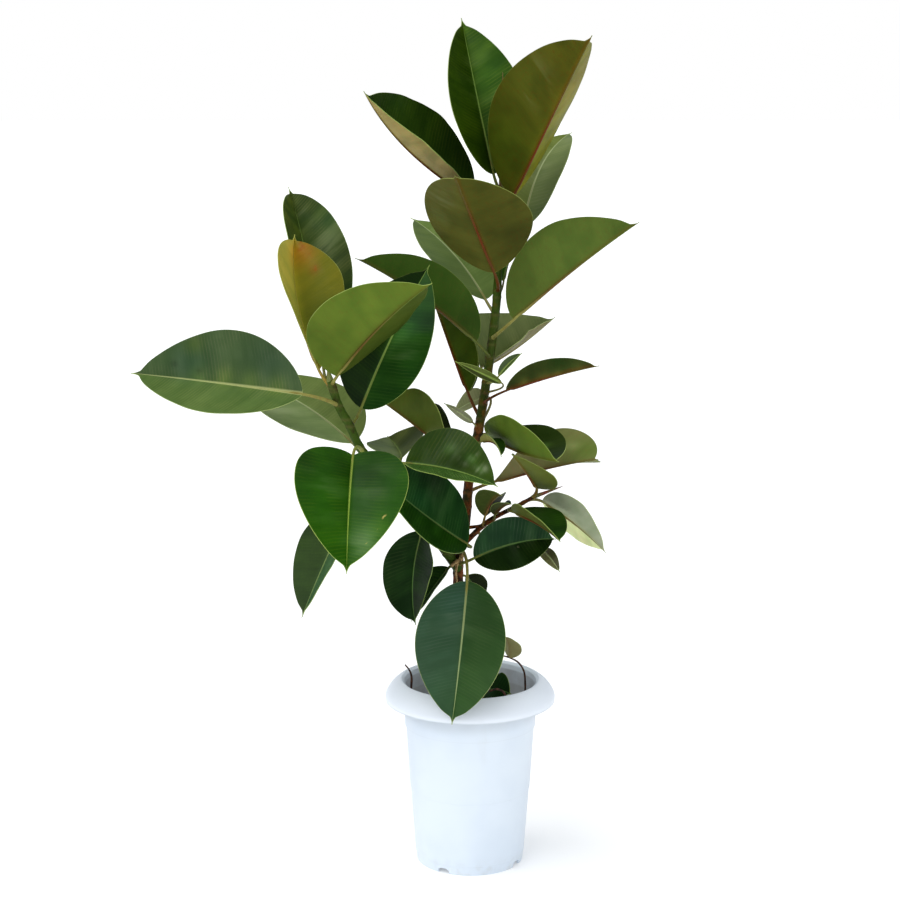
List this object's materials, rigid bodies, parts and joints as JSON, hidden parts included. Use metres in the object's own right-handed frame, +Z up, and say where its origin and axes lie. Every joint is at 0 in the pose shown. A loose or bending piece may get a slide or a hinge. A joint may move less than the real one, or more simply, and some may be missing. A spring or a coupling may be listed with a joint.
{
  "type": "potted rubber plant",
  "caption": "Branched rubber plant with large glossy oval leaves, rooted in bark compost in a round plastic pot with a rolled-over flange; a decorative floor plant",
  "frame": {"origin": "centre of the pot's flat underside", "axes": "+Z up, +Y to the back, +X to the right as seen from the front"},
  "size_m": [0.6777, 0.4099, 1.1803],
  "materials": {
    "pot": "matt white, slightly bluish",
    "soil": "dark bark compost",
    "bark": "reddish-brown below, green above",
    "twig": "thin dark red-brown",
    "leaf_dark": "glossy dark green with a pale midrib",
    "leaf_bronze": "satin olive-brown underside with a red midrib",
    "leaf_grey": "satin grey-green",
    "leaf_fresh": "satin light green underside",
    "leaf_green": "satin mid green",
    "leaf_olive": "satin olive underside",
    "leaf_night": "glossy, very dark green",
    "leaf_sheen": "glossy green with a bluish sheen",
    "leaf_bright": "glossy bright green with a yellow-green midrib",
    "leaf_dusk": "glossy dark grey-green",
    "leaf_gloss": "polished green",
    "leaf_ageing": "satin yellow and orange, ageing",
    "leaf_pale": "satin pale olive"
  },
  "bodies": {
    "root": {"pot": "pot", "soil": "soil", "stems": "bark", "crown_leaf_1": "leaf_dark", "crown_leaf_2": "leaf_bronze", "crown_leaf_3": "leaf_dark", "crown_leaf_4": "leaf_grey", "crown_leaf_5": "leaf_bronze", "crown_leaf_6": "leaf_dark", "trunk_leaf_1": "leaf_grey", "trunk_leaf_2": "leaf_fresh", "trunk_leaf_3": "leaf_green", "trunk_leaf_4": "leaf_grey", "trunk_leaf_5": "leaf_fresh", "trunk_leaf_6": "leaf_fresh", "trunk_leaf_7": "leaf_bronze", "trunk_leaf_8": "leaf_bronze", "trunk_leaf_9": "leaf_grey", "trunk_leaf_10": "leaf_fresh", "trunk_leaf_11": "leaf_grey", "trunk_leaf_12": "leaf_olive", "trunk_leaf_13": "leaf_dark", "low_leaf_1": "leaf_olive", "low_leaf_2": "leaf_night", "low_leaf_3": "leaf_night", "low_leaf_4": "leaf_night", "low_leaf_5": "leaf_night", "low_leaf_6": "leaf_sheen", "low_leaf_7": "leaf_night", "shoot_leaf_1": "leaf_olive", "shoot_leaf_2": "leaf_grey", "shoot_leaf_3": "leaf_dark", "shoot_leaf_4": "leaf_grey", "shoot_leaf_5": "leaf_olive", "shoot_leaf_6": "leaf_dark", "branch_leaf_1": "leaf_bright", "branch_leaf_2": "leaf_dusk", "branch_leaf_3": "leaf_gloss", "branch_leaf_4": "leaf_dusk", "branch_leaf_5": "leaf_sheen", "branch_leaf_6": "leaf_grey", "branch_leaf_7": "leaf_fresh", "branch_leaf_8": "leaf_dark", "branch_leaf_9": "leaf_ageing", "branch_leaf_10": "leaf_dark", "seedling": "leaf_pale", "soil_leaf": "leaf_night", "soil_twig_1": "twig", "soil_twig_2": "twig"}
  },
  "joints": []
}
